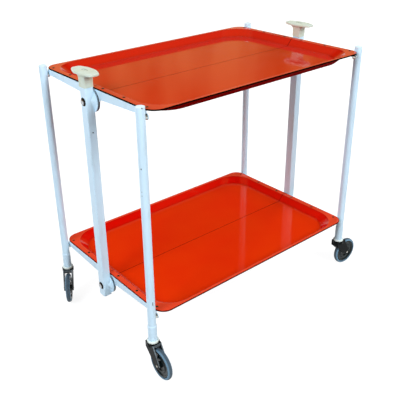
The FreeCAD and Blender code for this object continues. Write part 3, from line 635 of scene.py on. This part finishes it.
def moulded_handle(end, material):
    """Plug, square stem that flares to front and rear, and an oblong cap with a shallow hollow.
    One outline is drawn up from the foot of the plug, ring by ring, to the middle of the cap's top."""
    low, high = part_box("handle_" + end)
    bar_low, bar_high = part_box("centre_bar_" + end)
    bar_half_x = (bar_high.x - bar_low.x) / 2
    middle = Vector(((bar_low.x + bar_high.x) / 2, 0, 0))
    seat = bar_high.z
    cap_low = seat + stem_height + flare_height
    stem_x = bar_half_x + stem_skirt
    stem_y = bar_half_y + stem_skirt

    shape = stem_outline(stem_x, stem_y)
    across = shape.verts.layers.float.new("across")
    along = shape.verts.layers.float.new("along")
    for vert in shape.verts:
        vert[across] = vert.co.x / stem_x
        vert[along] = vert.co.y / stem_y
    ring = {"edges": list(shape.edges), "verts": list(shape.verts)}

    def next_ring():
        """Draws a new ring from the last one."""
        made = bmesh.ops.extrude_edge_only(shape, edges=ring["edges"])["geom"]
        ring["verts"] = [item for item in made if isinstance(item, bmesh.types.BMVert)]
        fresh = set(ring["verts"])
        made_edges = [item for item in made if isinstance(item, bmesh.types.BMEdge)]
        ring["edges"] = [edge for edge in made_edges if fresh.issuperset(edge.verts)]

    def set_stem(x_size, y_size, z):
        """Outline of the plug or stem, kept within the cap."""
        for vert in ring["verts"]:
            y = vert[along] * y_size
            x = vert[across] * min(x_size, cap_width_at(y))
            vert.co = middle + Vector((x, y, z))

    def set_cap(inset, z):
        """Outline of the cap, drawn in by a distance."""
        for vert in ring["verts"]:
            y = vert[along] * (cap_half_length - inset)
            x = vert[across] * (cap_width_at(vert[along] * cap_half_length) - inset)
            vert.co = middle + Vector((x, y, z))

    plug_x = bar_half_x - plug_inset
    plug_y = bar_half_y - plug_inset
    set_stem(plug_x, plug_y, low.z)
    next_ring()
    set_stem(plug_x, plug_y, seat)
    next_ring()
    set_stem(stem_x, stem_y, seat)
    next_ring()
    set_stem(stem_x, stem_y, seat + stem_height)
    for turn in quarter_turn(flare_steps, first=1):
        next_ring()
        set_stem(stem_x, stem_y + (flare_half_length - stem_y) * (1 - math.cos(turn)),
                 seat + stem_height + flare_height * math.sin(turn))
    for turn in quarter_turn(round_steps):
        next_ring()
        set_cap(cap_lip_radius * (1 - math.sin(turn)), cap_low + cap_lip_radius * (1 - math.cos(turn)))
    top = high.z - crown_height
    for turn in quarter_turn(round_steps):
        next_ring()
        set_cap(cap_edge_radius * (1 - math.cos(turn)), top - cap_edge_radius * (1 - math.sin(turn)))
    for step in range(1, top_steps):
        scale = 1 - step / top_steps
        crown = crown_height * (1 - scale * scale)
        next_ring()
        for vert in ring["verts"]:
            y = vert[along] * (cap_half_length - cap_edge_radius) * scale
            x = vert[across] * (cap_width_at(vert[along] * cap_half_length) - cap_edge_radius) * scale
            vert.co = middle + Vector((x, y, top + crown - dimple(x, y)))
    bmesh.ops.contextual_create(shape, geom=ring["edges"])
    new_piece("moulded_handle_" + end, shape, material, "centre_frame", "handle_" + end)


# Stage, light and camera

def pale_floor():
    """Plain white floor that keeps a soft shadow, with a low backdrop far off on all sides."""
    mesh = bpy.data.meshes.new("floor")
    shape = bmesh.new()
    bmesh.ops.create_circle(shape, cap_ends=True, segments=floor_segments, radius=floor_radius)
    raised = bmesh.ops.extrude_edge_only(shape, edges=list(shape.edges))["geom"]
    top = [item for item in raised if isinstance(item, bmesh.types.BMVert)]
    bmesh.ops.translate(shape, vec=(0, 0, backdrop_height), verts=top)
    shape.to_mesh(mesh)
    shape.free()
    floor = bpy.data.objects.new("floor", mesh)
    bpy.context.scene.collection.objects.link(floor)
    material, tree, coords = new_material("pale_floor")
    rays = add(tree, "LightPath").outputs
    seen = rays["Is Camera Ray"]
    for ray in ("Is Glossy Ray", "Is Transmission Ray"):
        seen = add(tree, "Math", {0: seen, 1: rays[ray]}, operation="MAXIMUM")
    away = add(tree, "VectorMath", {0: coords["Object"]}, operation="LENGTH")
    white = add(tree, "MapRange", {
        "Value": away, "From Min": grey_radius, "From Max": white_radius, "To Min": grey_strength})
    strength = add(tree, "Math", {0: seen, 1: white}, operation="MULTIPLY")
    matt = add(tree, "BsdfDiffuse", {"Color": linear("8A8A8A")})
    lifted = add(tree, "Emission", {"Color": linear("FFFFFF"), "Strength": strength})
    both = add(tree, "AddShader", {0: matt, 1: lifted})
    add(tree, "OutputMaterial", {"Surface": both})
    mesh.materials.append(material)


def soft_light(name, place, size, power, colour):
    """Soft square lamp, kept out of reflections, as the glossy trays would show it as white glare."""
    lamp = bpy.data.lights.new(name, "AREA")
    lamp.size = size
    lamp.energy = power
    lamp.color = linear(colour)[:3]
    holder = bpy.data.objects.new(name, lamp)
    holder.location = place
    holder.visible_glossy = False
    holder.rotation_euler = (lamp_aim - Vector(place)).to_track_quat("-Z", "Y").to_euler()
    bpy.context.scene.collection.objects.link(holder)


def studio():
    """Soft lamps on four sides, in a room that the trays mirror.
    The room is warm and streaky low down, dark above that, and pale overhead."""
    world = bpy.data.worlds.new("studio")
    bpy.context.scene.world = world
    world.use_nodes = True
    tree = world.node_tree
    tree.nodes.clear()
    outward = add(tree, "TexCoord").outputs["Generated"]
    height = add(tree, "SeparateXYZ", {0: outward}).outputs["Z"]
    stretched = add(tree, "Mapping", {"Vector": outward, "Scale": (streaks_across, streaks_across, 1)})
    cloud = add(tree, "TexNoise", {"Vector": stretched, "Scale": 1, "Detail": 3})
    streaks = add(tree, "MapRange", {"Value": cloud, "From Min": 0.35, "From Max": 0.65})
    warm = add(tree, "Mix", {
        FACTOR: streaks, FIRST: linear("7C602A"), SECOND: linear("DEB06C")}, data_type="RGBA")
    above = add(tree, "MapRange", {"Value": height, "From Min": warm_top, "From Max": dark_foot})
    sides = add(tree, "Mix", {FACTOR: above, FIRST: warm, SECOND: linear("4E4232")}, data_type="RGBA")
    overhead = add(tree, "MapRange", {"Value": height, "From Min": dark_top, "From Max": pale_foot})
    room = add(tree, "Mix", {FACTOR: overhead, FIRST: sides, SECOND: linear("C4CACE")}, data_type="RGBA")
    add(tree, "OutputWorld", {"Surface": add(tree, "Background", {"Color": room})})
    soft_light("key", (0.55, -3.3, 2.45), size=1.8, power=116, colour="F0F8FF")
    soft_light("side", (-3.3, -0.5, 2.4), size=1.6, power=98, colour="EAF4FF")
    soft_light("rear", (-0.8, 3.2, 1.5), size=1.6, power=46, colour="F4F8FF")
    soft_light("right", (3.2, 0.4, 1.5), size=1.6, power=46, colour="F4F8FF")


def place_camera():
    """Camera at the photograph's angle."""
    camera = bpy.data.cameras.new("camera")
    camera.lens = camera_lens
    camera.shift_x, camera.shift_y = camera_shift
    holder = bpy.data.objects.new("camera", camera)
    turn = camera_aim.to_track_quat("-Z", "Y").to_matrix() @ Matrix.Rotation(camera_roll, 3, "Z")
    holder.matrix_world = Matrix.Translation(camera_place) @ turn.to_4x4()
    bpy.context.scene.collection.objects.link(holder)
    bpy.context.scene.camera = holder


dress_nodes()
cream = aged_moulding("cream_urea", clean="D4DED0", yellowed="CED4BC", marks=hollow_shade)
for handle_end in ends:
    moulded_handle(handle_end, cream)
charcoal = filled_nylon("charcoal_nylon", dark="141F22", dusty="28342F", gloss=0.45, smooth=0.08, rough=0.14)
for wheel_corner in corners:
    turned_hub(wheel_corner, charcoal)
pale_floor()
studio()
place_camera()
bpy.context.scene.view_settings.view_transform = "Standard"
